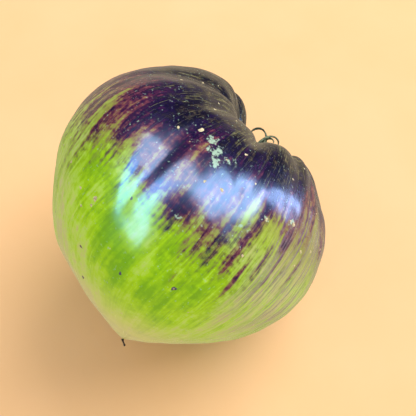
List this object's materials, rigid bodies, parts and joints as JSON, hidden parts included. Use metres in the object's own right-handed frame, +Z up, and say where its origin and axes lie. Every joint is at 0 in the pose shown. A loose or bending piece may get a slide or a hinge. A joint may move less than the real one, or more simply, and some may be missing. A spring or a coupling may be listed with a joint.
{
  "type": "tomato",
  "caption": "Large heart-shaped ribbed tomato lying on its side, purple over green, with a dried calyx in its stem hollow and a dried style at its point.",
  "frame": {"origin": "middle of the small flat spot on which the fruit rests", "axes": "+Z up; +X level, along the run of the stem axis from the blossom-end point towards the stem end; +Y to the left of that"},
  "size_m": [0.0807, 0.0816, 0.086],
  "materials": {
    "skin": "smooth waxy tomato skin, purple-black over yellow-green",
    "dried_calyx": "dry matt grey-green to brown leaf",
    "dried_style": "dry matt dark brown thread"
  },
  "bodies": {
    "root": {"fruit": "skin", "calyx": "dried_calyx", "style_remnant": "dried_style"}
  },
  "joints": []
}
